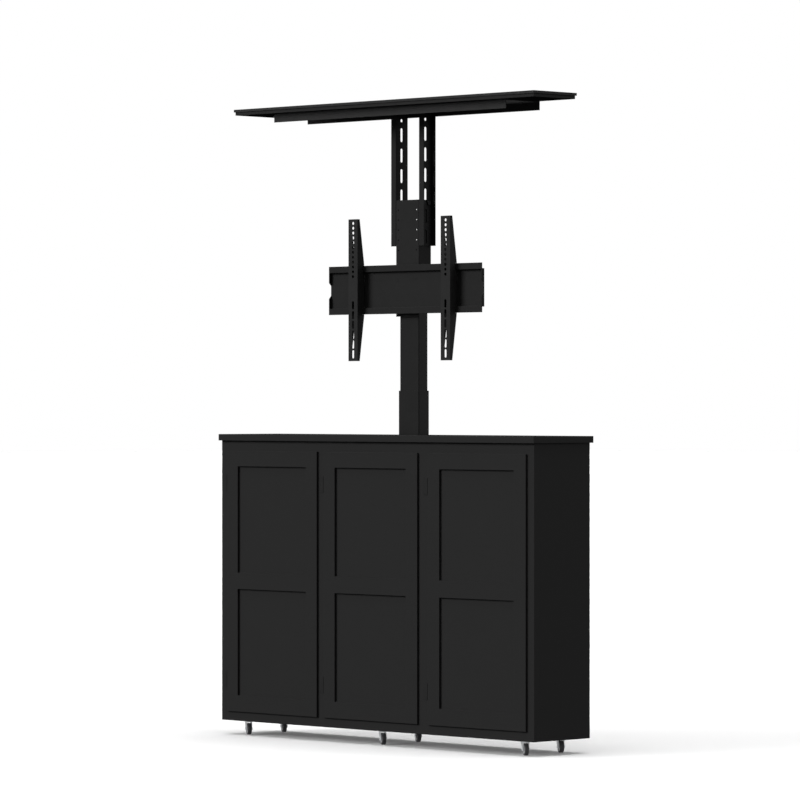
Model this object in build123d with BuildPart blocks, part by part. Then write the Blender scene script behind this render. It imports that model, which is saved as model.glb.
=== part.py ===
from build123d import *

import os
from math import cos, radians, sin

# A cabinet on casters with three doors, and in it a motorised column that lifts a TV plate
# and the lid of the cabinet. Millimetres, +Z up, the origin on the floor under the middle,
# the doors facing -Y. The lift stands raised and the doors are shut.

# Cabinet case
body_width = 1350
body_depth = 238
body_height = 874
caster_height = 44.5
board_thickness = 18
back_thickness = 6
back_rail_height = 70
brace_rail_height = 60
brace_rail_above_bottom = 497.5
cable_hole_radius = 30
cable_hole_from_middle = 420
cable_hole_above_bottom = 90

# Face frame and top board
frame_thickness = 19
stile_width = 38
left_middle_stile = 48
right_middle_stile = 62
top_rail_height = 41
top_thickness = 20
top_side_overhang = 7
top_front_overhang = 9
top_edge_radius = 1

# Doors, lipped over the face frame
door_lip = 9
door_thickness = 18
door_proud = 5.7
door_seat_gap = 0.3
door_edge_gap = 2
door_edge_radius = 0.8
door_stile_width = 49
door_top_rail = 48
door_middle_rail = 51
door_bottom_rail = 51
panel_recess = 6
panel_thickness = 6
panel_groove_depth = 7
panel_groove_play = 0.5

# Door hinges and catches
hinge_height = 50
hinge_from_door_end = 100
knuckle_radius = 2.4
knuckle_length = 16
knuckle_gap = 0.4
knuckle_from_door_edge = 3.3
knuckle_relief = 2.7
hinge_pin_radius = 1.1
hinge_pin_play = 0.05
leaf_thickness = 1
frame_leaf_width = 20
door_leaf_width = 26
catch_height = 40
catch_width = 16
catch_foot_width = 14
catch_depth = 13
strike_gap = 0.3
strike_thickness = 1

# Casters
caster_from_side = 76.2
caster_from_middle_line = 75.2
caster_yaw = -32
caster_trail = 8
wheel_radius = 18
wheel_width = 13
wheel_edge_radius = 2.5
hub_radius = 11
hub_recess = 1
axle_radius = 2.5
axle_play = 0.05
axle_head_radius = 4
axle_head_length = 2
fork_steel = 1.8
fork_wheel_gap = 1.1
fork_top_length = 26
fork_top_below_body = 4
fork_eye_radius = 6
caster_plate_size = 38
caster_plate_steel = 2
race_radius = 12
race_gap = 0.1
kingpin_radius = 3
kingpin_play = 0.05
kingpin_head_radius = 5
kingpin_head_height = 1.4
kingpin_head_gap = 0.2
caster_screw_from_middle = 14
screw_radius = 1.6
screw_head_radius = 3
screw_head_height = 1.5
screw_depth = 12
screw_hole_play = 0.1

# Lift foot and drive
column_y = 56.3
base_plate_thickness = 6
base_plate_side = 80
base_plate_motor_side = 130
base_plate_depth = 76
base_bolt_from_edge = 10
bolt_radius = 3
bolt_head_radius = 5
bolt_head_height = 3
bolt_play = 0.2
gearbox_height = 24
gearbox_side = 58
gearbox_motor_side = 115
gearbox_depth = 64
collar_wall = 6
collar_height = 16
collar_play = 0.1
housing_corner_radius = 5
housing_edge_radius = 1.5
motor_radius = 24
motor_length = 120
motor_cap_length = 18
motor_cap_step = 1.5
motor_from_column = 88
motor_pilot_radius = 10
motor_pilot_length = 4
motor_pilot_play = 0.05
control_box_length = 200
control_box_depth = 28
control_box_height = 70
control_box_from_middle = 320
control_box_above_bottom = 17.5
inlet_width = 24
inlet_height = 16
inlet_depth = 9

# Column: three tubes, each sliding in the next, and two screws that drive them
tube_width = 89
tube_depth = 45
tube_wall = 2.2
tube_gap = 1
outer_tube_wall = 2
outer_tube_gap = 0.8
tube_corner_radius = 4
corner_step = 0.7
stage_stroke = 443
outer_tube_length = 538
middle_tube_length = 535
nest_gap = 3
cap_gap = 3.5
nut_block_height = 14
nut_block_play = 0.1
nut_block_gap = 1.5
glide_height = 60
glide_play = 0.2
glide_half_width_share = 0.3
screw_from_middle = 18
lower_spindle_radius = 7
upper_spindle_radius = 8
drive_shaft_radius = 3.5
spindle_play = 0.05
drive_shaft_play = 0.1
spindle_pass_play = 2
spindle_overrun = 5
spindle_seat = 10
upper_spindle_lift = 3
brace_width = 70
brace_height = 40
brace_steel = 3

# Head bracket, which carries the TV plate
head_width = 100
head_depth = 51.2
head_front_y = 28.6
head_steel = 2
head_bend_radius = 2.5
head_bottom_drop = 220.5
head_height = 355.3
head_flange_lift = 40.5
head_cap_thickness = 6
head_cap_notch_depth = 6
head_cap_notch_width = 16
head_hole_radius = 2.3
head_hole_from_middle = 39
head_hole_pitch = 30.6
head_hole_from_top = 30.2
head_hole_rows = 5
head_bolt_rows = [7, 9]
spacer_width = 92
spacer_height = 96

# TV plate
plate_width = 661
plate_height = 149.3
plate_bottom_lift = 8.4
plate_lip_height = 19.6
plate_lip_y = 14.2
plate_recess = 9
plate_steel = 2.5
plate_bend_radius = 0.8
plate_notch_mouth = 50
plate_notch_floor = 30
plate_bolt_radius = 3
plate_bolt_head_radius = 5.5
plate_bolt_play = 0.2

# TV arms
vesa_spacing = 400
arm_length = 435.8
arm_width = 40
arm_steel = 2
arm_below_plate = 143.4
arm_front_y = -8.6
arm_end_depth = 9.4
arm_nose_gap = 3.2
arm_lip_play = 0.3
arm_hook_rise = 5
arm_hook_reach = 13
arm_latch_reach = 14
arm_hole_radius = 4.7
arm_hole_pitch = 14.9
arm_hole_count = 12
arm_hole_from_end = 12.5
arm_slot_length = 26
arm_slot_radius = 4.5
arm_slot_pitch = 30.1
arm_slot_count = 6
arm_slot_from_end = 21

# Lid and the frame that carries it
lid_from_body_end = 26
lid_width = 185
lid_y = -1
lid_skin_thickness = 8
lid_board_thickness = 10
lid_skin_overhang = 4
lid_seat_gap = 0.3
lid_opening_play = 1.5
lid_drop = 120.2
channel_length = 1002
channel_width = 145.7
channel_back_y = 87.3
channel_height = 26.5
channel_steel = 2.5
rail_slot_pitch = 62.6
rail_slot_length = 43
rail_slot_radius = 5.2
rail_slot_count = 6
rail_slot_from_end = 27.9
rail_hole_radius = 5
rail_hole_above_slot = 44.3
rail_steel = 2.5
rail_reach = 20.2
rail_gap = 0.3
rail_end_below_head_top = 140.3
rail_bolt_radius = 4
rail_bolt_play = 0.2
rail_bolt_below_head_top = 9.8
rail_bolt_spread = 24
rail_bolt_head_radius = 7
rail_bolt_head_height = 1.3
rail_bolt_head_gap = 0.1
rail_nut_radius = 7
rail_nut_height = 5
tab_screw_spread = 28
lid_screw_from_channel_end = 51
lid_screw_count = 6
lid_screw_spread = 90
lid_screw_depth = 8
overrun = 5

# Cabinet places
half_width = body_width / 2
front_y = -body_depth / 2
back_y = body_depth / 2
body_bottom = caster_height
body_top = body_bottom + body_height
side_inner_x = half_width - board_thickness
frame_back_y = front_y + frame_thickness
back_inner_y = back_y - back_thickness
rail_inner_y = back_inner_y - board_thickness
floor_top = body_bottom + board_thickness
opening_bottom = body_bottom + stile_width
opening_top = body_top - top_rail_height
top_surface = body_top + top_thickness
brace_rail_bottom = floor_top + brace_rail_above_bottom

# Door places
door_bottom = opening_bottom - door_lip
door_top = opening_top + door_lip
doorway_width = (body_width - 2 * stile_width - left_middle_stile - right_middle_stile) / 3
door_width = doorway_width + 2 * door_lip
half_doorway = doorway_width / 2
outer_door_x = half_width - stile_width - half_doorway
middle_door_x = half_doorway + left_middle_stile + half_doorway - outer_door_x
door_places = {"left": -outer_door_x, "middle": middle_door_x, "right": outer_door_x}
lip_to_body = door_lip + door_edge_gap
door_front_y = front_y - door_proud
door_back_y = door_front_y + door_thickness
lip_back_y = front_y - door_seat_gap
panel_front_y = door_front_y + panel_recess
pivot_y = lip_back_y - knuckle_radius
hinge_levels = [door_bottom + hinge_from_door_end, door_top - hinge_from_door_end]
catch_level = (door_bottom + door_top) / 2

# Caster places: wheels in two rows of three, all swivelled alike
roll = Vector(cos(radians(caster_yaw)), sin(radians(caster_yaw)), 0)
axle_line = Vector(-roll.Y, roll.X, 0)
caster_columns = [-half_width + caster_from_side, 0, half_width - caster_from_side]
caster_rows = [-caster_from_middle_line, caster_from_middle_line]
wheel_places = [Vector(x, y, wheel_radius) for y in caster_rows for x in caster_columns]
swivel_places = [place - roll * caster_trail for place in wheel_places]
screw_offsets = [
    (i * caster_screw_from_middle, j * caster_screw_from_middle) for i in (-1, 1) for j in (-1, 1)
]
caster_screw_places = [(place.X + i, place.Y + j) for place in swivel_places for i, j in screw_offsets]
fork_top = body_bottom - fork_top_below_body
fork_underside = fork_top - fork_steel
half_fork = wheel_width / 2 + fork_wheel_gap + fork_steel

# Lift places, in the raised pose
base_top = floor_top + base_plate_thickness
outer_tube_bottom = base_top + gearbox_height
outer_tube_top = outer_tube_bottom + outer_tube_length
middle_tube_bottom = outer_tube_bottom + nest_gap + stage_stroke
middle_tube_top = middle_tube_bottom + middle_tube_length
travel = 2 * stage_stroke
inner_tube_bottom = outer_tube_bottom + nest_gap + nut_block_height + nut_block_gap + travel
cap_bottom = outer_tube_top + cap_gap + travel
head_bottom = cap_bottom - head_bottom_drop
head_top = head_bottom + head_height
inner_width = tube_width - 2 * (tube_wall + tube_gap)
inner_depth = tube_depth - 2 * (tube_wall + tube_gap)
outer_width = tube_width + 2 * (outer_tube_wall + outer_tube_gap)
outer_depth = tube_depth + 2 * (outer_tube_wall + outer_tube_gap)
outer_tube_back_y = column_y + outer_depth / 2
base_bolt_places = [
    (x, column_y + side * (base_plate_depth / 2 - base_bolt_from_edge))
    for x in (-base_plate_side + base_bolt_from_edge, base_plate_motor_side - base_bolt_from_edge)
    for side in (-1, 1)
]

# TV plate and arm places
plate_bottom = head_bottom + plate_bottom_lift
plate_top = plate_bottom + plate_height
plate_middle = (plate_bottom + plate_top) / 2
plate_web_y = plate_lip_y + plate_recess
plate_back_y = plate_web_y + plate_steel
lip_rear_y = plate_lip_y + plate_steel
recess_bottom = plate_bottom + plate_lip_height
recess_top = plate_top - plate_lip_height
first_hole_level = head_top - head_hole_from_top
plate_bolt_places = [
    (side * head_hole_from_middle, first_hole_level - row * head_hole_pitch)
    for side in (-1, 1)
    for row in head_bolt_rows
]
arm_bottom = plate_bottom - arm_below_plate
arm_top = arm_bottom + arm_length

# Lid places
lid_skin_bottom = top_surface + lid_seat_gap + travel + lid_drop
lid_board_bottom = lid_skin_bottom - lid_board_thickness
lid_length = body_width - 2 * lid_from_body_end
half_board_length = lid_length / 2 - lid_skin_overhang
half_board_width = lid_width / 2 - lid_skin_overhang
channel_under = lid_board_bottom - channel_steel
channel_front_y = channel_back_y - channel_width
channel_middle_y = (channel_front_y + channel_back_y) / 2
head_back_y = head_front_y + head_depth
rail_bottom = head_top - rail_end_below_head_top
rail_inner_x = head_width / 2 + rail_gap
rail_outer_x = rail_inner_x + rail_reach
rail_middle_y = (head_front_y + head_back_y) / 2
rail_bolt_z = head_top - rail_bolt_below_head_top
rail_bolt_rows = [rail_middle_y - rail_bolt_spread / 2, rail_middle_y + rail_bolt_spread / 2]
tab_screw_places = [
    (side * (rail_inner_x + rail_outer_x) / 2, rail_middle_y + row * tab_screw_spread / 2)
    for side in (-1, 1)
    for row in (-1, 1)
]
lid_screw_spacing = (channel_length - 2 * lid_screw_from_channel_end) / (lid_screw_count - 1)
lid_screw_places = [
    ((n - (lid_screw_count - 1) / 2) * lid_screw_spacing, channel_middle_y + row * lid_screw_spread / 2)
    for n in range(lid_screw_count)
    for row in (-1, 1)
]

os.makedirs("parts", exist_ok=True)


def block(x, y, z, mode=Mode.ADD):
    """Add a box between pairs of lowest and highest values."""
    with Locations(((x[0] + x[1]) / 2, (y[0] + y[1]) / 2, (z[0] + z[1]) / 2)):
        Box(x[1] - x[0], y[1] - y[0], z[1] - z[0], mode=mode)


def rod(x, y, z, radius, mode=Mode.ADD):
    """Add an upright cylinder between two heights."""
    with Locations((x, y, (z[0] + z[1]) / 2)):
        Cylinder(radius, z[1] - z[0], mode=mode)


def mirrored(side, near, far):
    """A pair of X values on one side of the middle, the lower first."""
    return (near, far) if side > 0 else (-far, -near)


def save(piece, name):
    """Label a finished piece and write it."""
    piece.part.label = name
    export_step(piece.part, f"parts/{name}.step")


# Case: sides, bottom, back and the two rails across the back
for side, name in ((-1, "side_panel_left"), (1, "side_panel_right")):
    with BuildPart() as side_panel:
        block(mirrored(side, side_inner_x, half_width), (frame_back_y, back_y), (body_bottom, body_top))
    save(side_panel, name)

across = (-side_inner_x, side_inner_x)
with BuildPart() as bottom_board:
    block(across, (frame_back_y, back_inner_y), (body_bottom, floor_top))
    for x, y in caster_screw_places:
        hole_top = body_bottom + screw_depth + screw_head_height
        rod(x, y, (body_bottom - overrun, hole_top), screw_radius + screw_hole_play, Mode.SUBTRACT)
    for x, y in base_bolt_places:
        rod(x, y, (body_bottom - overrun, floor_top + overrun), bolt_radius + bolt_play, Mode.SUBTRACT)
save(bottom_board, "bottom_board")

with BuildPart() as back_panel:
    block(across, (back_inner_y, back_y), (body_bottom, body_top))
    hole_middle = (cable_hole_from_middle, back_y, floor_top + cable_hole_above_bottom)
    with BuildSketch(Plane(origin=hole_middle, z_dir=(0, 1, 0))):
        Circle(cable_hole_radius)
    extrude(amount=-back_thickness, mode=Mode.SUBTRACT)
save(back_panel, "back_panel")

with BuildPart() as back_rails:
    rail_y = (rail_inner_y, back_inner_y)
    block(across, rail_y, (body_top - back_rail_height, body_top))
    block(across, rail_y, (brace_rail_bottom, brace_rail_bottom + brace_rail_height))
save(back_rails, "back_rails")

# Face frame: uprights beside the openings, and a rail above and below them
with BuildPart() as face_frame_stiles:
    for side in (-1, 1):
        stile_x = mirrored(side, half_width - stile_width, half_width)
        block(stile_x, (front_y, frame_back_y), (body_bottom, body_top))
    left_start = half_doorway - outer_door_x
    right_start = half_doorway + middle_door_x
    for start, width in ((left_start, left_middle_stile), (right_start, right_middle_stile)):
        block((start, start + width), (front_y, frame_back_y), (opening_bottom, opening_top))
save(face_frame_stiles, "face_frame_stiles")

with BuildPart() as face_frame_rails:
    between_ends = (-half_width + stile_width, half_width - stile_width)
    block(between_ends, (front_y, frame_back_y), (body_bottom, opening_bottom))
    block(between_ends, (front_y, frame_back_y), (opening_top, body_top))
save(face_frame_rails, "face_frame_rails")

# Top board, with the opening that the lid closes
with BuildPart() as top_board:
    half_top = half_width + top_side_overhang
    half_top_depth = back_y + top_front_overhang
    block((-half_top, half_top), (-half_top_depth, half_top_depth), (body_top, top_surface))
    fillet(top_board.edges().filter_by(Axis.Z), radius=top_edge_radius)
    fillet(top_board.faces().sort_by(Axis.Z)[-1].edges(), radius=top_edge_radius)
    half_hole = half_board_length + lid_opening_play
    hole_half_width = half_board_width + lid_opening_play
    hole_y = (lid_y - hole_half_width, lid_y + hole_half_width)
    block((-half_hole, half_hole), hole_y, (body_top - overrun, top_surface + overrun), Mode.SUBTRACT)
save(top_board, "top_board")

# Doors: a frame with a lip all round, two panels in its grooves, and its hardware
panel_height = (door_top - door_bottom - door_top_rail - door_middle_rail - door_bottom_rail) / 2
windows = [
    (door_bottom + door_bottom_rail, door_bottom + door_bottom_rail + panel_height),
    (door_top - door_top_rail - panel_height, door_top - door_top_rail),
]
groove_y = (panel_front_y, panel_front_y + panel_thickness)
tongue = panel_groove_depth - panel_groove_play
leaf_y = (lip_back_y - leaf_thickness, lip_back_y)
back_leaf_y = (door_back_y, door_back_y + leaf_thickness)
catch_z = (catch_level - catch_height / 2, catch_level + catch_height / 2)
hinge_spans = [(level - hinge_height / 2, level + hinge_height / 2) for level in hinge_levels]
knuckle_spans = [(level - knuckle_length / 2, level + knuckle_length / 2) for level in hinge_levels]
pin_hole_radius = hinge_pin_radius + hinge_pin_play

for place, door_x in door_places.items():
    left_x, right_x = door_x - door_width / 2, door_x + door_width / 2
    window_x = (left_x + door_stile_width, right_x - door_stile_width)
    body_x = (left_x + lip_to_body, right_x - lip_to_body)
    side_leaf_x = (body_x[0] - leaf_thickness, body_x[0])
    pivot_x = left_x - knuckle_from_door_edge

    with BuildPart() as door_frame:
        block((left_x, right_x), (door_front_y, lip_back_y), (door_bottom, door_top))
        fillet(door_frame.faces().sort_by(Axis.Y)[0].edges(), radius=door_edge_radius)
        block(body_x, (lip_back_y, door_back_y), (door_bottom + lip_to_body, door_top - lip_to_body))
        for bottom, top in windows:
            block(window_x, (door_front_y - overrun, door_back_y + overrun), (bottom, top), Mode.SUBTRACT)
            groove_x = (window_x[0] - panel_groove_depth, window_x[1] + panel_groove_depth)
            groove_z = (bottom - panel_groove_depth, top + panel_groove_depth)
            block(groove_x, groove_y, groove_z, Mode.SUBTRACT)
        for span in hinge_spans:
            block((left_x - overrun, body_x[0]), leaf_y, span, Mode.SUBTRACT)
    save(door_frame, f"door_{place}_frame")

    with BuildPart() as door_panels:
        for bottom, top in windows:
            block((window_x[0] - tongue, window_x[1] + tongue), groove_y, (bottom - tongue, top + tongue))
    save(door_panels, f"door_{place}_panels")

    with BuildPart() as door_hardware:
        for span, knuckle_span in zip(hinge_spans, knuckle_spans):
            rod(pivot_x, pivot_y, knuckle_span, knuckle_radius)
            block((pivot_x, side_leaf_x[0]), leaf_y, knuckle_span)
            block((pivot_x + knuckle_relief, side_leaf_x[0]), leaf_y, span)
            block(side_leaf_x, (leaf_y[0], back_leaf_y[1]), span)
            block((side_leaf_x[0], side_leaf_x[0] + door_leaf_width), back_leaf_y, span)
            rod(pivot_x, pivot_y, knuckle_span, pin_hole_radius, Mode.SUBTRACT)
        block((body_x[1] - catch_width, body_x[1]), (door_back_y, door_back_y + strike_thickness), catch_z)
    save(door_hardware, f"door_{place}_hardware")

# Frame side of the door hinges with their pins, and the catches
frame_leaf_y = (front_y - leaf_thickness, front_y)
with BuildPart() as frame_hinges:
    for door_x in door_places.values():
        pivot_x = door_x - door_width / 2 - knuckle_from_door_edge
        for span, knuckle_span in zip(hinge_spans, knuckle_spans):
            block((pivot_x - frame_leaf_width, pivot_x - knuckle_relief), frame_leaf_y, span)
            ends = ((span[0], knuckle_span[0] - knuckle_gap), (knuckle_span[1] + knuckle_gap, span[1]))
            for end in ends:
                rod(pivot_x, pivot_y, end, knuckle_radius)
                block((pivot_x - knuckle_relief, pivot_x), frame_leaf_y, end)
                rod(pivot_x, pivot_y, end, pin_hole_radius, Mode.SUBTRACT)
            rod(pivot_x, pivot_y, span, hinge_pin_radius)
save(frame_hinges, "frame_hinges")

with BuildPart() as magnetic_catches:
    for door_x in door_places.values():
        edge_x = door_x + half_doorway
        magnet_y = door_back_y + strike_thickness + strike_gap
        magnet_x = (edge_x - door_edge_gap - catch_width, edge_x - door_edge_gap)
        block(magnet_x, (magnet_y, magnet_y + catch_depth), catch_z)
        block((magnet_x[1], edge_x + catch_foot_width), (frame_back_y, magnet_y + catch_depth), catch_z)
save(magnetic_catches, "magnetic_catches")

# Casters
caster_plate_z = (body_bottom - caster_plate_steel, body_bottom)
kingpin_z = (fork_underside - kingpin_head_gap, fork_top + race_gap)
with BuildPart() as caster_plates:
    for place in swivel_places:
        plate_x = (place.X - caster_plate_size / 2, place.X + caster_plate_size / 2)
        plate_y = (place.Y - caster_plate_size / 2, place.Y + caster_plate_size / 2)
        block(plate_x, plate_y, caster_plate_z)
        rod(place.X, place.Y, (kingpin_z[1], caster_plate_z[0]), race_radius)
        rod(place.X, place.Y, kingpin_z, kingpin_radius)
        rod(place.X, place.Y, (kingpin_z[0] - kingpin_head_height, kingpin_z[0]), kingpin_head_radius)
    for x, y in caster_screw_places:
        hole_z = (caster_plate_z[0] - overrun, caster_plate_z[1] + overrun)
        rod(x, y, hole_z, screw_radius + screw_hole_play, Mode.SUBTRACT)
save(caster_plates, "caster_plates")

with BuildPart() as caster_screws:
    for x, y in caster_screw_places:
        rod(x, y, (caster_plate_z[0] - screw_head_height, caster_plate_z[0]), screw_head_radius)
        rod(x, y, (caster_plate_z[0], body_bottom + screw_depth), screw_radius)
save(caster_screws, "caster_screws")

axle_end = half_fork + axle_head_length
for number, (wheel_place, swivel_place) in enumerate(zip(wheel_places, swivel_places), 1):
    swivel_foot = Vector(swivel_place.X, swivel_place.Y, 0)
    axle_side = axle_line * axle_end

    with BuildPart() as caster_fork:
        with BuildSketch(Plane(origin=swivel_foot + Vector(0, 0, fork_underside), x_dir=roll)):
            Rectangle(fork_top_length, 2 * half_fork)
        extrude(amount=fork_steel)
        for start in (-half_fork, half_fork - fork_steel):
            with BuildSketch(Plane(origin=swivel_foot + axle_line * start, x_dir=roll, z_dir=-axle_line)):
                with Locations((caster_trail, wheel_radius)):
                    Circle(fork_eye_radius)
                with Locations((0, fork_top - fork_steel / 2)):
                    Rectangle(fork_top_length, fork_steel)
                make_hull()
            extrude(amount=-fork_steel)
        with BuildSketch(Plane(origin=wheel_place - axle_side, z_dir=axle_line)):
            Circle(axle_radius)
        extrude(amount=2 * axle_end)
        with BuildSketch(Plane(origin=wheel_place - axle_side, z_dir=axle_line)):
            Circle(axle_head_radius)
        extrude(amount=axle_head_length)
        with BuildSketch(Plane(origin=wheel_place + axle_side, z_dir=-axle_line)):
            Circle(axle_head_radius)
        extrude(amount=axle_head_length)
        pin_hole_z = (fork_underside - kingpin_head_gap, fork_top + overrun)
        rod(swivel_place.X, swivel_place.Y, pin_hole_z, kingpin_radius + kingpin_play, Mode.SUBTRACT)
    save(caster_fork, f"caster_{number}_fork")

    with BuildPart() as caster_wheel:
        bore = axle_radius + axle_play
        recess_foot = axle_head_radius + hub_recess
        with BuildSketch(Plane(origin=wheel_place, x_dir=axle_line, z_dir=roll)):
            with Locations((0, (wheel_radius + bore) / 2)):
                Rectangle(wheel_width, wheel_radius - bore)
            fillet([v for v in vertices() if v.Y > hub_radius], radius=wheel_edge_radius)
            for side in (-1, 1):
                with Locations((side * (wheel_width - hub_recess) / 2, (hub_radius + recess_foot) / 2)):
                    Rectangle(hub_recess, hub_radius - recess_foot, mode=Mode.SUBTRACT)
        revolve(axis=Axis(wheel_place, axle_line))
    save(caster_wheel, f"caster_{number}_wheel")

# Lift foot: base plate, its bolts, gearbox, motor and control box
with BuildPart() as lift_base_plate:
    plate_y = (column_y - base_plate_depth / 2, column_y + base_plate_depth / 2)
    block((-base_plate_side, base_plate_motor_side), plate_y, (floor_top, base_top))
    fillet(lift_base_plate.edges().filter_by(Axis.Z), radius=housing_corner_radius)
    for x, y in base_bolt_places:
        rod(x, y, (floor_top - overrun, base_top + overrun), bolt_radius + bolt_play, Mode.SUBTRACT)
save(lift_base_plate, "lift_base_plate")

with BuildPart() as lift_base_bolts:
    for x, y in base_bolt_places:
        rod(x, y, (base_top, base_top + bolt_head_height), bolt_head_radius)
        rod(x, y, (body_bottom + bolt_head_height, base_top), bolt_radius)
save(lift_base_bolts, "lift_base_bolts")

pilot_z = (outer_tube_bottom - motor_pilot_length, outer_tube_bottom)
with BuildPart() as gearbox:
    box_y = (column_y - gearbox_depth / 2, column_y + gearbox_depth / 2)
    block((-gearbox_side, gearbox_motor_side), box_y, (base_top, outer_tube_bottom))
    fillet(gearbox.edges().filter_by(Axis.Z), radius=housing_corner_radius)
    collar_width = outer_width + 2 * collar_play
    collar_depth = outer_depth + 2 * collar_play
    with BuildSketch(Plane.XY.offset(outer_tube_bottom)):
        with Locations((0, column_y)):
            Rectangle(collar_width + 2 * collar_wall, collar_depth + 2 * collar_wall)
            fillet(vertices(), radius=housing_corner_radius)
            Rectangle(collar_width, collar_depth, mode=Mode.SUBTRACT)
    extrude(amount=collar_height)
    seat_z = (outer_tube_bottom - spindle_seat, outer_tube_bottom + overrun)
    rod(-screw_from_middle, column_y, seat_z, lower_spindle_radius + spindle_play, Mode.SUBTRACT)
    rod(screw_from_middle, column_y, seat_z, drive_shaft_radius + drive_shaft_play, Mode.SUBTRACT)
    pilot_hole_z = (pilot_z[0], outer_tube_bottom + overrun)
    rod(motor_from_column, column_y, pilot_hole_z, motor_pilot_radius + motor_pilot_play, Mode.SUBTRACT)
save(gearbox, "gearbox")

with BuildPart() as motor:
    motor_top = outer_tube_bottom + motor_length
    rod(motor_from_column, column_y, pilot_z, motor_pilot_radius)
    rod(motor_from_column, column_y, (outer_tube_bottom, motor_top - motor_cap_length), motor_radius)
    cap_z = (motor_top - motor_cap_length, motor_top)
    rod(motor_from_column, column_y, cap_z, motor_radius - motor_cap_step)
    fillet(motor.faces().sort_by(Axis.Z)[-1].edges(), radius=housing_edge_radius)
save(motor, "motor")

with BuildPart() as control_box:
    box_right = -control_box_from_middle + control_box_length / 2
    box_left = box_right - control_box_length
    box_front = back_inner_y - control_box_depth
    box_bottom = floor_top + control_box_above_bottom
    box_top = box_bottom + control_box_height
    block((box_left, box_right), (box_front, back_inner_y), (box_bottom, box_top))
    fillet(control_box.faces().sort_by(Axis.Y)[0].edges(), radius=housing_edge_radius)
    inlet_middle = (box_left, (box_front + back_inner_y) / 2, (box_bottom + box_top) / 2)
    with BuildSketch(Plane(origin=inlet_middle, x_dir=(0, 1, 0), z_dir=(-1, 0, 0))):
        Rectangle(inlet_height, inlet_width)
    extrude(amount=-inlet_depth, mode=Mode.SUBTRACT)
save(control_box, "control_box")

with BuildPart() as column_brace:
    brace_bottom = brace_rail_bottom + (brace_rail_height - brace_height) / 2
    brace_z = (brace_bottom, brace_bottom + brace_height)
    block((-brace_width / 2, brace_width / 2), (outer_tube_back_y, rail_inner_y), brace_z)
    hollow_x = (-brace_width / 2 + brace_steel, brace_width / 2 - brace_steel)
    hollow_y = (outer_tube_back_y + brace_steel, rail_inner_y - brace_steel)
    block(hollow_x, hollow_y, (brace_z[0] - overrun, brace_z[1] + overrun), Mode.SUBTRACT)
save(column_brace, "column_brace")

# Column tubes, glides, nut blocks and screws
tubes = {
    "outer": (outer_width, outer_depth, corner_step, outer_tube_wall, outer_tube_bottom, outer_tube_top),
    "middle": (tube_width, tube_depth, 0, tube_wall, middle_tube_bottom, middle_tube_top),
    "inner": (inner_width, inner_depth, -corner_step, tube_wall, inner_tube_bottom, cap_bottom),
}
for name, (width, depth, step, wall, bottom, top) in tubes.items():
    corner = tube_corner_radius + step
    with BuildPart() as tube:
        with BuildSketch(Plane.XY.offset(bottom)):
            with Locations((0, column_y)):
                RectangleRounded(width, depth, corner)
                RectangleRounded(width - 2 * wall, depth - 2 * wall, corner - wall, mode=Mode.SUBTRACT)
        extrude(amount=top - bottom)
    save(tube, f"tube_{name}")

glide_sets = {
    "middle": (tube_width, tube_depth, outer_tube_gap - glide_play, middle_tube_bottom),
    "inner": (inner_width, inner_depth, tube_gap - glide_play, inner_tube_bottom),
}
for name, (width, depth, thickness, bottom) in glide_sets.items():
    glide_z = (bottom, bottom + glide_height)
    half_x, half_y = width * glide_half_width_share, depth * glide_half_width_share
    with BuildPart() as glides:
        for side in (-1, 1):
            side_x = mirrored(side, width / 2, width / 2 + thickness)
            block(side_x, (column_y - half_y, column_y + half_y), glide_z)
            near, far = mirrored(side, depth / 2, depth / 2 + thickness)
            block((-half_x, half_x), (column_y + near, column_y + far), glide_z)
    save(glides, f"glides_{name}")

nut_blocks = {
    "lower": (tube_width, tube_depth, 0, spindle_play, middle_tube_bottom),
    "upper": (inner_width, inner_depth, -corner_step, spindle_pass_play, inner_tube_bottom),
}
for name, (width, depth, step, play, bottom) in nut_blocks.items():
    less = 2 * (tube_wall + nut_block_play)
    with BuildPart() as nut_block:
        with BuildSketch(Plane.XY.offset(bottom)):
            with Locations((0, column_y)):
                RectangleRounded(width - less, depth - less, tube_corner_radius + step - tube_wall)
            with Locations((-screw_from_middle, column_y)):
                Circle(lower_spindle_radius + play, mode=Mode.SUBTRACT)
            with Locations((screw_from_middle, column_y)):
                Circle(upper_spindle_radius + spindle_play, mode=Mode.SUBTRACT)
        extrude(amount=nut_block_height)
    save(nut_block, f"nut_block_{name}")

shaft_z = (outer_tube_bottom - spindle_seat, middle_tube_bottom + nut_block_height + spindle_overrun)
with BuildPart() as spindle_lower:
    rod(-screw_from_middle, column_y, shaft_z, lower_spindle_radius)
save(spindle_lower, "spindle_lower")

with BuildPart() as drive_shaft:
    rod(screw_from_middle, column_y, shaft_z, drive_shaft_radius)
save(drive_shaft, "drive_shaft")

with BuildPart() as spindle_upper:
    upper_end = inner_tube_bottom + nut_block_height + spindle_overrun
    upper_z = (middle_tube_bottom + upper_spindle_lift, upper_end)
    rod(screw_from_middle, column_y, upper_z, upper_spindle_radius)
    rod(screw_from_middle, column_y, upper_z, drive_shaft_radius + drive_shaft_play, Mode.SUBTRACT)
save(spindle_upper, "spindle_upper")

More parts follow.
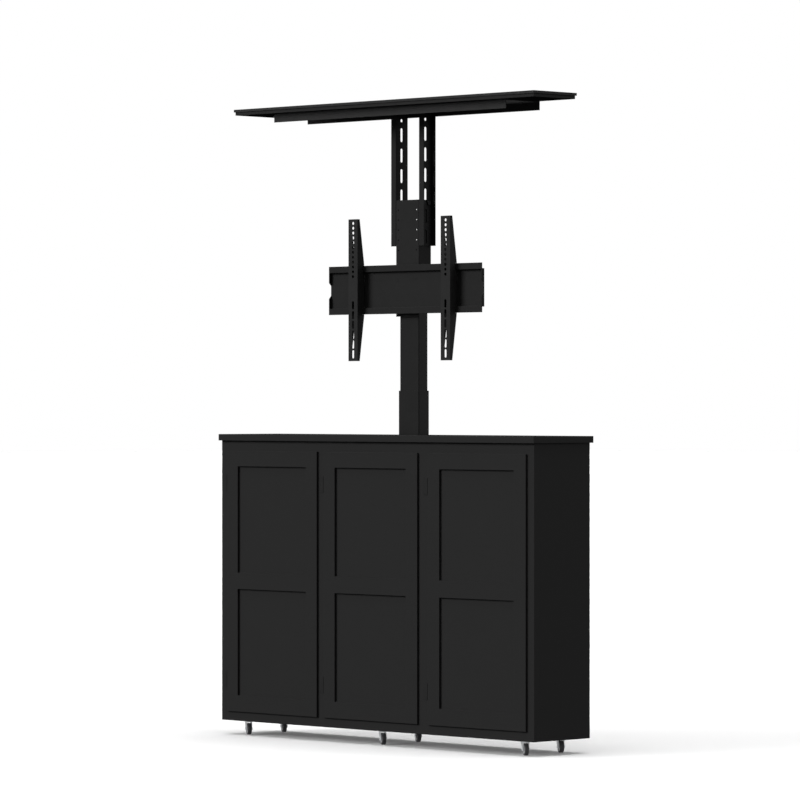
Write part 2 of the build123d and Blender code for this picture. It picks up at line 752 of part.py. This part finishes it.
# Head bracket: a channel open at the back, with a cap over the inner tube and a spacer in front
facing_front = Plane(origin=(0, 0, 0), x_dir=(1, 0, 0), z_dir=(0, -1, 0))
half_head = head_width / 2
head_inner_y = head_front_y + head_steel
with BuildPart() as head_bracket:
    with BuildSketch(Plane.XY.offset(head_bottom)):
        with Locations((0, rail_middle_y)):
            Rectangle(head_width, head_depth)
        fillet([v for v in vertices() if v.Y < rail_middle_y], radius=head_bend_radius)
        inner_half = half_head - head_steel
        with BuildLine():
            Polyline(
                (-inner_half, head_back_y + overrun),
                (-inner_half, head_inner_y),
                (inner_half, head_inner_y),
                (inner_half, head_back_y + overrun),
                close=True,
            )
        make_face(mode=Mode.SUBTRACT)
    extrude(amount=head_height)
    below_flanges = (head_bottom - overrun, head_bottom + head_flange_lift)
    flange_y = (head_front_y + head_bend_radius, head_back_y)
    block((-half_head, half_head), flange_y, below_flanges, Mode.SUBTRACT)
    with BuildSketch(Plane.XY.offset(cap_bottom)):
        weld_width = head_width - head_steel
        with Locations((0, (head_inner_y + head_back_y) / 2)):
            Rectangle(weld_width, head_back_y - head_inner_y)
        with Locations(*[(side * weld_width / 2, y) for side in (-1, 1) for y in rail_bolt_rows]):
            Rectangle(2 * head_cap_notch_depth, head_cap_notch_width, mode=Mode.SUBTRACT)
    extrude(amount=head_cap_thickness)
    spacer_z = (plate_middle - spacer_height / 2, plate_middle + spacer_height / 2)
    block((-spacer_width / 2, spacer_width / 2), (plate_back_y, head_front_y), spacer_z)
    with BuildSketch(facing_front.offset(-head_front_y)):
        hole_levels = [first_hole_level - row * head_hole_pitch for row in range(head_hole_rows)]
        with Locations(*[(side * head_hole_from_middle, z) for side in (-1, 1) for z in hole_levels]):
            Circle(head_hole_radius)
    extrude(amount=-head_steel, mode=Mode.SUBTRACT)
    with BuildSketch(facing_front.offset(-plate_back_y)):
        with Locations(*plate_bolt_places):
            Circle(plate_bolt_radius + plate_bolt_play)
    extrude(amount=plate_back_y - head_inner_y, mode=Mode.SUBTRACT)
    slot_length = lid_drop + 2 * (rail_bolt_radius + rail_bolt_play)
    for side in (-1, 1):
        with BuildSketch(Plane.YZ.offset(side * half_head)):
            with Locations(*[(y, rail_bolt_z - lid_drop / 2) for y in rail_bolt_rows]):
                SlotOverall(slot_length, 2 * (rail_bolt_radius + rail_bolt_play), rotation=90)
        extrude(amount=-side * head_steel, mode=Mode.SUBTRACT)
save(head_bracket, "head_bracket")

# TV plate: a hat section with notched end flanges
half_plate = plate_width / 2
with BuildPart() as tv_plate:
    with BuildSketch(Plane.YZ.offset(-half_plate)):
        with BuildLine():
            Polyline(
                (plate_lip_y, plate_bottom),
                (lip_rear_y, plate_bottom),
                (lip_rear_y, recess_bottom - plate_steel),
                (plate_back_y, recess_bottom - plate_steel),
                (plate_back_y, recess_top + plate_steel),
                (lip_rear_y, recess_top + plate_steel),
                (lip_rear_y, plate_top),
                (plate_lip_y, plate_top),
                (plate_lip_y, recess_top),
                (plate_web_y, recess_top),
                (plate_web_y, recess_bottom),
                (plate_lip_y, recess_bottom),
                close=True,
            )
        make_face()
        fillet(vertices(), radius=plate_bend_radius)
    extrude(amount=plate_width)
    for start, direction in ((-half_plate, 1), (half_plate, -1)):
        with BuildSketch(Plane.YZ.offset(start)):
            with BuildLine():
                Polyline(
                    (plate_lip_y, recess_bottom - plate_steel),
                    (plate_web_y + plate_bend_radius, recess_bottom - plate_steel),
                    (plate_web_y + plate_bend_radius, recess_top + plate_steel),
                    (plate_lip_y, recess_top + plate_steel),
                    (plate_lip_y, plate_middle + plate_notch_mouth / 2),
                    (plate_web_y, plate_middle + plate_notch_floor / 2),
                    (plate_web_y, plate_middle - plate_notch_floor / 2),
                    (plate_lip_y, plate_middle - plate_notch_mouth / 2),
                    close=True,
                )
            make_face()
        extrude(amount=direction * plate_steel)
    with BuildSketch(facing_front.offset(-plate_web_y)):
        with Locations(*plate_bolt_places):
            Circle(plate_bolt_head_radius + plate_bolt_play)
    extrude(amount=-plate_steel, taper=45, mode=Mode.SUBTRACT)
save(tv_plate, "tv_plate")

with BuildPart() as plate_bolts:
    with BuildSketch(facing_front.offset(-plate_web_y)):
        with Locations(*plate_bolt_places):
            Circle(plate_bolt_head_radius)
    extrude(amount=-plate_steel, taper=45)
    with BuildSketch(facing_front.offset(-plate_back_y)):
        with Locations(*plate_bolt_places):
            Circle(plate_bolt_radius)
    extrude(amount=plate_back_y - head_inner_y)
save(plate_bolts, "plate_bolts")

# TV arms: a front flange full of holes, and a web down each side that hooks on the plate's lips
front_edge = arm_front_y
end_edge = arm_front_y + arm_end_depth
nose_edge = plate_web_y - arm_nose_gap
lip_front = plate_lip_y - arm_lip_play
lip_behind = lip_rear_y + arm_lip_play
hole_places = [(0, arm_top - arm_hole_from_end - n * arm_hole_pitch) for n in range(arm_hole_count)]
slot_places = [(0, arm_bottom + arm_slot_from_end + n * arm_slot_pitch) for n in range(arm_slot_count)]
for side, name in ((-1, "arm_left"), (1, "arm_right")):
    hole_line_x = side * vesa_spacing / 2
    flange_x = (hole_line_x - arm_width / 2, hole_line_x + arm_width / 2)
    with BuildPart() as arm:
        block(flange_x, (arm_front_y, arm_front_y + arm_steel), (arm_bottom, arm_top))
        with BuildSketch(facing_front.offset(-arm_front_y)):
            with Locations((hole_line_x, 0)):
                with Locations(*hole_places):
                    Circle(arm_hole_radius)
                with Locations(*slot_places):
                    SlotOverall(arm_slot_length, 2 * arm_slot_radius, rotation=90)
        extrude(amount=-arm_steel, mode=Mode.SUBTRACT)
        for web_x in (flange_x[0], flange_x[1] - arm_steel):
            with BuildSketch(Plane.YZ.offset(web_x)):
                with BuildLine():
                    Polyline(
                        (front_edge, arm_bottom),
                        (end_edge, arm_bottom),
                        (nose_edge, plate_bottom - arm_hook_rise),
                        (nose_edge, plate_bottom + arm_latch_reach),
                        (lip_behind, plate_bottom + arm_latch_reach),
                        (lip_behind, plate_bottom - arm_lip_play),
                        (lip_front, plate_bottom - arm_lip_play),
                        (lip_front, recess_bottom + arm_lip_play),
                        (nose_edge, recess_bottom + arm_lip_play),
                        (nose_edge, recess_top - arm_lip_play),
                        (lip_front, recess_top - arm_lip_play),
                        (lip_front, plate_top + arm_lip_play),
                        (lip_behind, plate_top + arm_lip_play),
                        (lip_behind, plate_top - arm_hook_reach),
                        (nose_edge, plate_top - arm_hook_reach),
                        (nose_edge, plate_top + arm_hook_rise),
                        (end_edge, arm_top),
                        (front_edge, arm_top),
                        close=True,
                    )
                make_face()
            extrude(amount=arm_steel)
    save(arm, name)

# Lid rails: channels open to the outside, with slots for setting the lid's height
first_slot = rail_bottom + rail_slot_from_end
slot_levels = [first_slot + n * rail_slot_pitch for n in range(rail_slot_count)]
round_hole_level = slot_levels[-1] + rail_hole_above_slot
for side, name in ((-1, "lid_rail_left"), (1, "lid_rail_right")):
    with BuildPart() as lid_rail:
        rail_z = (rail_bottom, channel_under)
        web_x = mirrored(side, rail_inner_x, rail_outer_x)
        block(web_x, (head_front_y, head_back_y), rail_z)
        block(
            mirrored(side, rail_inner_x + rail_steel, rail_outer_x + overrun),
            (head_front_y + rail_steel, head_back_y - rail_steel),
            (rail_bottom - overrun, channel_under - rail_steel),
            Mode.SUBTRACT,
        )
        with BuildSketch(Plane.YZ.offset(side * rail_inner_x)):
            with Locations(*[(rail_middle_y, z) for z in slot_levels]):
                SlotOverall(rail_slot_length, 2 * rail_slot_radius, rotation=90)
            with Locations((rail_middle_y, round_hole_level)):
                Circle(rail_hole_radius)
            with Locations(*[(y, rail_bolt_z) for y in rail_bolt_rows]):
                Circle(rail_bolt_radius + rail_bolt_play)
        extrude(amount=side * rail_steel, mode=Mode.SUBTRACT)
        for x, y in tab_screw_places:
            if x * side > 0:
                hole_z = (channel_under - rail_steel - overrun, channel_under + overrun)
                rod(x, y, hole_z, bolt_radius + bolt_play, Mode.SUBTRACT)
    save(lid_rail, name)

# Lid: a channel, a board on it, and a thin skin that laps over the top board
with BuildPart() as lid_channel:
    channel_x = (-channel_length / 2, channel_length / 2)
    channel_z = (lid_board_bottom - channel_height, lid_board_bottom)
    block(channel_x, (channel_front_y, channel_back_y), channel_z)
    inside_y = (channel_front_y + channel_steel, channel_back_y - channel_steel)
    inside_x = (channel_x[0] - overrun, channel_x[1] + overrun)
    block(inside_x, inside_y, (channel_z[0] - overrun, channel_under), Mode.SUBTRACT)
    for x, y in tab_screw_places + lid_screw_places:
        hole_z = (channel_under - overrun, lid_board_bottom + overrun)
        rod(x, y, hole_z, bolt_radius + bolt_play, Mode.SUBTRACT)
save(lid_channel, "lid_channel")

with BuildPart() as lid_board:
    board_y = (lid_y - half_board_width, lid_y + half_board_width)
    block((-half_board_length, half_board_length), board_y, (lid_board_bottom, lid_skin_bottom))
    for x, y in tab_screw_places + lid_screw_places:
        hole_z = (lid_board_bottom - overrun, lid_board_bottom + lid_screw_depth + bolt_play)
        rod(x, y, hole_z, bolt_radius + bolt_play, Mode.SUBTRACT)
save(lid_board, "lid_board")

with BuildPart() as lid_skin:
    skin_y = (lid_y - lid_width / 2, lid_y + lid_width / 2)
    skin_z = (lid_skin_bottom, lid_skin_bottom + lid_skin_thickness)
    block((-lid_length / 2, lid_length / 2), skin_y, skin_z)
    fillet(lid_skin.edges().filter_by(Axis.Z), radius=top_edge_radius)
save(lid_skin, "lid_skin")

with BuildPart() as lid_fasteners:
    heads = [(x, y, channel_under - rail_steel) for x, y in tab_screw_places]
    heads += [(x, y, channel_under) for x, y in lid_screw_places]
    for x, y, seat in heads:
        rod(x, y, (seat - bolt_head_height, seat), bolt_head_radius)
        rod(x, y, (seat, lid_board_bottom + lid_screw_depth), bolt_radius)
    for side in (-1, 1):
        head_start = half_head - head_steel - rail_bolt_head_gap - rail_bolt_head_height
        head_end = head_start + rail_bolt_head_height
        nut_start = rail_inner_x + rail_steel
        nut_end = nut_start + rail_nut_height
        stages = (
            (head_start, head_end, rail_bolt_head_radius),
            (head_end, nut_end, rail_bolt_radius),
        )
        for start, end, radius in stages:
            with BuildSketch(Plane.YZ.offset(side * start)):
                with Locations(*[(y, rail_bolt_z) for y in rail_bolt_rows]):
                    Circle(radius)
            extrude(amount=side * (end - start))
        with BuildSketch(Plane.YZ.offset(side * nut_start)):
            with Locations(*[(y, rail_bolt_z) for y in rail_bolt_rows]):
                RegularPolygon(rail_nut_radius, side_count=6)
        extrude(amount=side * rail_nut_height)
save(lid_fasteners, "lid_fasteners")
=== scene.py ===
from math import radians

import bpy
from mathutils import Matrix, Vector


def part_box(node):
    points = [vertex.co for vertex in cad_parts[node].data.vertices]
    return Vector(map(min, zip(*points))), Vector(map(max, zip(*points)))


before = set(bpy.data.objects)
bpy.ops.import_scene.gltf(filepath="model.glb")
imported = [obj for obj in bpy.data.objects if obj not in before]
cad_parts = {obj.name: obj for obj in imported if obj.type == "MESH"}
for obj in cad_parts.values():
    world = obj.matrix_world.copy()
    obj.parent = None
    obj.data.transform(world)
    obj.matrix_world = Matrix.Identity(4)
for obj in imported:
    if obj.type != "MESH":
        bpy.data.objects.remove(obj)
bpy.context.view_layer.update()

MM = 0.001

# Camera: level, and so far away that the cabinet's edges run almost parallel
CAMERA_PLACE = Vector((9.978, -9.862, 1.045))
CAMERA_TURN = 45.344
CAMERA_LENS = 207.4
SENSOR_WIDTH = 36

# Light: a soft key from the left of the front, with a lower and softer one in its place for the
# floor, the casters and the lid's board, channel and skin, a weaker one from the right and back,
# one straight down, and a pale room
AMBIENT = 0.25
GLOSSY_BACKGROUND = 0.5
KEY_STRENGTH = 3.26
KEY_SOFTNESS = 28
KEY_FROM = Vector((-0.59, -0.77, 0.5))
LOW_KEY_STRENGTH = 3.0
LOW_KEY_SOFTNESS = 45
LOW_KEY_FROM = Vector((-0.5, -0.83, 0.24))
BACK_STRENGTH = 1.1
BACK_SOFTNESS = 60
BACK_FROM = Vector((0.75, 0.3, 0.25))
TOP_STRENGTH = 2.1
TOP_SOFTNESS = 45
TOP_FROM = Vector((0, 0, 1))
FLOOR_REACH = 60
FLOOR_SEEN = "#F4F4F4"
FLOOR_GLOW = 0.06
FLOOR_BOUNCE = "#303030"

# Pieces: the casters' numbers, and the wheels' seam between tyre and hub in millimetres
CASTERS = range(1, 7)
WHEEL_AXLE = Vector((0.529919, 0.848048, 0.0))
WHEEL_TYRE_RADIUS = 13.2
WHEEL_SEAM_HALF = 0.3
EDGE_SAMPLES = 4


def linear(hex_colour):
    """The linear colour of an sRGB hex value such as #2A2A2B."""
    channels = [int(hex_colour[i:i + 2], 16) / 255 for i in (1, 3, 5)]
    curved = [c / 12.92 if c <= 0.04045 else ((c + 0.055) / 1.055) ** 2.4 for c in channels]
    return (*curved, 1.0)


def add(tree, kind, values=None, links=None, **settings):
    """Add one node, set its options and sockets, and link other nodes' outputs to its sockets."""
    node = tree.nodes.new(kind)
    for name, value in settings.items():
        setattr(node, name, value)
    for socket, value in (values or {}).items():
        node.inputs[socket].default_value = value
    for socket, output in (links or {}).items():
        tree.links.new(output, node.inputs[socket])
    return node


def new_material(name):
    """A new material and its empty node tree."""
    material = bpy.data.materials.new(name)
    material.use_nodes = True
    material.node_tree.nodes.clear()
    return material, material.node_tree


def per_metre(grain_mm):
    """The texture scale that makes one grain this many millimetres wide."""
    return 1 / (grain_mm * MM)


def noise(tree, place, grain_mm, detail=2.0):
    """Noise with grains of a real width."""
    grains = {"Scale": per_metre(grain_mm), "Detail": detail}
    return add(tree, "ShaderNodeTexNoise", grains, {"Vector": place})


def between(tree, factor, dark, light):
    """A colour that runs from dark to light with a factor."""
    mixer = add(tree, "ShaderNodeMix", data_type="RGBA")
    colours = [socket for socket in mixer.inputs if socket.type == "RGBA"]
    colours[0].default_value = linear(dark)
    colours[1].default_value = linear(light)
    tree.links.new(factor, mixer.inputs[0])
    return next(socket for socket in mixer.outputs if socket.type == "RGBA")


def spread(tree, factor, low, high):
    """A number that runs from low to high over the middle half of a noise."""
    limits = {"From Min": 0.25, "From Max": 0.75, "To Min": low, "To Max": high}
    return add(tree, "ShaderNodeMapRange", limits, {"Value": factor}).outputs["Result"]


def shade(tree, colour, roughness, height, relief_mm, edge_mm, constants):
    """The shader, with a relief in millimetres over edges rounded by a radius in millimetres."""
    edge = add(tree, "ShaderNodeBevel", {"Radius": edge_mm * MM}, samples=EDGE_SAMPLES)
    bump = add(tree, "ShaderNodeBump", {"Distance": relief_mm * MM},
               {"Height": height, "Normal": edge.outputs["Normal"]})
    shader = add(tree, "ShaderNodeBsdfPrincipled", constants,
                 {"Base Color": colour, "Roughness": roughness, "Normal": bump.outputs["Normal"]})
    add(tree, "ShaderNodeOutputMaterial", links={"Surface": shader.outputs["BSDF"]})


def object_place(tree):
    """Coordinates that stay with the piece, in metres."""
    return add(tree, "ShaderNodeTexCoord").outputs["Object"]


def sprayed_lacquer(name, dark, light, low_gloss, high_gloss, specular):
    """Black lacquer sprayed on MDF: flat, with an orange peel and faint clouds where the coats overlap."""
    material, tree = new_material(name)
    place = object_place(tree)
    clouds = noise(tree, place, 90, detail=3.0).outputs["Fac"]
    # Real orange peel is about 1 mm wide, which the render can't show
    peel = noise(tree, place, 3.5).outputs["Fac"]
    colour = between(tree, clouds, dark, light)
    roughness = spread(tree, clouds, low_gloss, high_gloss)
    shade(tree, colour, roughness, peel, 0.05, 0.9, {"Specular IOR Level": specular})
    return material


def powder_coat(name, dark, light, low_gloss=0.64, high_gloss=0.76):
    """Matte or satin powder coat on metal: a fine, even, slightly pebbled skin."""
    material, tree = new_material(name)
    place = object_place(tree)
    pebbles = noise(tree, place, 1.6, detail=3.0).outputs["Fac"]
    clouds = noise(tree, place, 45).outputs["Fac"]
    colour = between(tree, clouds, dark, light)
    roughness = spread(tree, pebbles, low_gloss, high_gloss)
    shade(tree, colour, roughness, pebbles, 0.05, 0.5, {"Specular IOR Level": 0.08})
    return material


def moulded_plastic(name, dark, light, roughness_low, roughness_high):
    """Injection-moulded plastic: spark-eroded texture, with gloss that changes with the wall behind it."""
    material, tree = new_material(name)
    place = object_place(tree)
    cells = add(tree, "ShaderNodeTexVoronoi", {"Scale": per_metre(0.9)}, {"Vector": place})
    texture = cells.outputs["Distance"]
    clouds = noise(tree, place, 20).outputs["Fac"]
    colour = between(tree, clouds, dark, light)
    roughness = spread(tree, clouds, roughness_low, roughness_high)
    shade(tree, colour, roughness, texture, 0.03, 0.5, {"Specular IOR Level": 0.4})
    return material


def plated_steel(name, dark, light, low, high, streak_mm):
    """Bright zinc on stamped steel, or ground steel: streaks along the stock, and a soft mottle."""
    material, tree = new_material(name)
    place = object_place(tree)
    stretch = add(tree, "ShaderNodeMapping", {"Scale": (1.0, 1.0, 0.12)}, {"Vector": place}).outputs["Vector"]
    streaks = noise(tree, stretch, streak_mm, detail=4.0).outputs["Fac"]
    mottle = noise(tree, place, 6).outputs["Fac"]
    colour = between(tree, mottle, dark, light)
    roughness = spread(tree, streaks, low, high)
    shade(tree, colour, roughness, streaks, 0.01, 0.3, {"Metallic": 1.0})
    return material


def blackened_steel(name):
    """Steel blackened in an oxide bath: dark, half metallic, a little uneven."""
    material, tree = new_material(name)
    place = object_place(tree)
    stains = noise(tree, place, 5, detail=4.0).outputs["Fac"]
    colour = between(tree, stains, "#171718", "#222224")
    roughness = spread(tree, stains, 0.55, 0.7)
    shade(tree, colour, roughness, stains, 0.01, 0.3, {"Metallic": 0.3, "Specular IOR Level": 0.15})
    return material


def caster_wheel_material(wheel):
    """A grey rubber tyre moulded round a pale nylon hub, told apart by the distance from the axle."""
    material, tree = new_material("rubber_tyre_on_nylon_hub")
    low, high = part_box(wheel)
    centre = add(tree, "ShaderNodeVectorMath", {1: (low + high) / 2}, {0: object_place(tree)},
                 operation="SUBTRACT")
    across = add(tree, "ShaderNodeVectorMath", {1: WHEEL_AXLE}, {0: centre.outputs["Vector"]},
                 operation="CROSS_PRODUCT")
    radius = add(tree, "ShaderNodeVectorMath", {}, {0: across.outputs["Vector"]}, operation="LENGTH")
    seam = {"From Min": (WHEEL_TYRE_RADIUS - WHEEL_SEAM_HALF) * MM,
            "From Max": (WHEEL_TYRE_RADIUS + WHEEL_SEAM_HALF) * MM}
    tyre = add(tree, "ShaderNodeMapRange", seam, {"Value": radius.outputs["Value"]}).outputs["Result"]
    grain = noise(tree, centre.outputs["Vector"], 1.2).outputs["Fac"]
    colour = between(tree, tyre, "#A2A3A5", "#4C4C4E")
    gloss = add(tree, "ShaderNodeMapRange", {"To Min": 0.35, "To Max": 0.72}, {"Value": tyre})
    shade(tree, colour, gloss.outputs["Result"], grain, 0.04, 0.4, {"Specular IOR Level": 0.4})
    return material


def finish(material, *nodes):
    """Give nodes of the frame their material."""
    for node in nodes:
        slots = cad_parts[node].data.materials
        slots.clear()
        slots.append(material)


def named(*starts):
    """The frame's nodes whose names start with one of these words."""
    return [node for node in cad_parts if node.startswith(starts)]


def of_doors(piece):
    """The nodes of one piece of the three doors."""
    return [f"door_{place}_{piece}" for place in ("left", "middle", "right")]


lacquer = sprayed_lacquer("satin_lacquer_on_mdf", "#1F1F1F", "#252525", 0.62, 0.72, 0.06)
panel_lacquer = sprayed_lacquer("matte_lacquer_on_board", "#202020", "#262626", 0.66, 0.76, 0.06)
# The lid's board is a few levels lighter than the cabinet's lacquer: painted light that lifts the shadow
# under the lid skin's overhang
dead_matt_painted_light = sprayed_lacquer("dead_matt_lacquer_on_board", "#2D2D2D", "#333333", 0.85, 0.95, 0.0)
steel_coat = powder_coat("matte_powder_coat_on_steel", "#1B1B1B", "#212121")
tube_coat = powder_coat("satin_powder_coat_on_tube", "#191919", "#1F1F1F", 0.28, 0.36)
lid_coat = powder_coat("satin_coat_on_aluminium", "#292929", "#303030")
# The arms have the steel's powder coat and gloss, a few levels lighter
arm_coat = powder_coat("lighter_powder_coat_on_arms", "#202020", "#262626")
# The channel's coat is the steel's powder coat made lighter: painted light that lifts the shade under the
# lid's overhang
channel_coat_painted_light = powder_coat("powder_coat_on_steel_painted_lighter", "#2C2C2C", "#333333")
housing_plastic = moulded_plastic("black_abs_housing", "#161617", "#1D1D1E", 0.45, 0.6)
bearing_plastic = moulded_plastic("white_acetal_bearing", "#D6D5CE", "#E6E5DF", 0.3, 0.4)
zinc = plated_steel("bright_zinc_on_steel", "#DCDEE0", "#F0F1F2", 0.4, 0.55, 1.2)
ground_steel = plated_steel("ground_spindle_steel", "#8F9194", "#B4B5B8", 0.2, 0.35, 0.8)
black_oxide = blackened_steel("black_oxide_on_steel")

finish(lacquer, "side_panel_left", "side_panel_right", "face_frame_stiles", "face_frame_rails",
       "top_board", *of_doors("frame"))
finish(dead_matt_painted_light, "lid_board")
finish(panel_lacquer, "bottom_board", "back_panel", "back_rails", *of_doors("panels"))
finish(steel_coat, "head_bracket", "tv_plate", "plate_bolts", "column_brace", "lift_base_plate",
       "frame_hinges", *named("lid_rail_"), *of_doors("hardware"))
finish(tube_coat, *named("tube_"))
finish(arm_coat, *named("arm_"))
finish(channel_coat_painted_light, "lid_channel")
finish(lid_coat, "lid_skin")
finish(housing_plastic, "gearbox", "motor", "control_box", "magnetic_catches")
finish(bearing_plastic, *named("glides_", "nut_block_"))
finish(zinc, "caster_plates", "caster_screws", *[f"caster_{n}_fork" for n in CASTERS])
finish(ground_steel, "spindle_lower", "spindle_upper", "drive_shaft")
finish(black_oxide, "lid_fasteners", "lift_base_bolts")
for n in CASTERS:
    finish(caster_wheel_material(f"caster_{n}_wheel"), f"caster_{n}_wheel")


def sun(name, strength, softness, direction):
    """A sun that shines from a direction with soft shadows."""
    lamp = bpy.data.lights.new(name, "SUN")
    lamp.energy = strength
    lamp.angle = radians(softness)
    body = bpy.data.objects.new(name, lamp)
    body.rotation_euler = direction.to_track_quat("Z", "Y").to_euler()
    bpy.context.collection.objects.link(body)
    return body


def pale_room():
    """A world that lights evenly, and shows white behind the object and in what it reflects."""
    world = bpy.data.worlds.new("room")
    world.use_nodes = True
    tree = world.node_tree
    tree.nodes.clear()
    rays = add(tree, "ShaderNodeLightPath").outputs
    glossy = add(tree, "ShaderNodeMath", {1: GLOSSY_BACKGROUND}, {0: rays["Is Glossy Ray"]},
                 operation="MULTIPLY")
    seen = add(tree, "ShaderNodeMath", links={0: rays["Is Camera Ray"], 1: rays["Is Transmission Ray"]},
               operation="MAXIMUM")
    shown = add(tree, "ShaderNodeMath", links={0: seen.outputs[0], 1: glossy.outputs[0]}, operation="MAXIMUM")
    strength = add(tree, "ShaderNodeMath", {1: AMBIENT}, {0: shown.outputs[0]}, operation="MAXIMUM")
    light = add(tree, "ShaderNodeBackground", {"Color": linear("#FFFFFF")}, {"Strength": strength.outputs[0]})
    add(tree, "ShaderNodeOutputWorld", links={"Surface": light.outputs["Background"]})
    bpy.context.scene.world = world


def pale_floor():
    """A wide floor: white and shadowed to the camera, pale in gloss, and throwing little light up."""
    material, tree = new_material("pale_floor")
    rays = add(tree, "ShaderNodeLightPath").outputs
    glow = add(tree, "ShaderNodeEmission", {"Color": linear("#FFFFFF"), "Strength": FLOOR_GLOW})
    paint = add(tree, "ShaderNodeBsdfDiffuse", {"Color": linear(FLOOR_SEEN)})
    white = add(tree, "ShaderNodeAddShader", links={0: glow.outputs["Emission"], 1: paint.outputs["BSDF"]})
    bounce = add(tree, "ShaderNodeBsdfDiffuse", {"Color": linear(FLOOR_BOUNCE)})
    pale = add(tree, "ShaderNodeEmission", {"Color": linear("#FFFFFF"), "Strength": GLOSSY_BACKGROUND})
    unseen = add(tree, "ShaderNodeMixShader",
                 links={0: rays["Is Glossy Ray"], 1: bounce.outputs["BSDF"], 2: pale.outputs["Emission"]})
    surface = add(tree, "ShaderNodeMixShader",
                  links={0: rays["Is Camera Ray"], 1: unseen.outputs["Shader"], 2: white.outputs["Shader"]})
    add(tree, "ShaderNodeOutputMaterial", links={"Surface": surface.outputs["Shader"]})
    mesh = bpy.data.meshes.new("floor")
    corners = [(x * FLOOR_REACH, y * FLOOR_REACH, 0) for x, y in ((-1, -1), (1, -1), (1, 1), (-1, 1))]
    mesh.from_pydata(corners, [], [(0, 1, 2, 3)])
    mesh.materials.append(material)
    floor = bpy.data.objects.new("floor", mesh)
    bpy.context.collection.objects.link(floor)
    return floor


def aim(lamp, receivers, state):
    """Let a lamp light some objects alone with INCLUDE, or all but those with EXCLUDE."""
    group = bpy.data.collections.new(f"lit_by_{lamp.name}")
    for receiver in receivers:
        group.objects.link(receiver)
    for entry in group.collection_objects:
        entry.light_linking.link_state = state
    lamp.light_linking.receiver_collection = group


camera = bpy.data.objects.new("camera", bpy.data.cameras.new("camera"))
camera.location = CAMERA_PLACE
camera.rotation_euler = (radians(90), 0, radians(CAMERA_TURN))
camera.data.lens = CAMERA_LENS
camera.data.sensor_width = SENSOR_WIDTH
camera.data.clip_end = 2 * FLOOR_REACH
bpy.context.collection.objects.link(camera)
bpy.context.scene.camera = camera
bpy.context.scene.view_settings.view_transform = "Standard"

pale_room()
low_nodes = named("caster_", "lid_board", "lid_channel", "lid_skin")
low_things = [pale_floor(), *[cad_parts[node] for node in low_nodes]]
aim(sun("key", KEY_STRENGTH, KEY_SOFTNESS, KEY_FROM), low_things, "EXCLUDE")
aim(sun("low_key", LOW_KEY_STRENGTH, LOW_KEY_SOFTNESS, LOW_KEY_FROM), low_things, "INCLUDE")
sun("back", BACK_STRENGTH, BACK_SOFTNESS, BACK_FROM)
sun("top", TOP_STRENGTH, TOP_SOFTNESS, TOP_FROM)
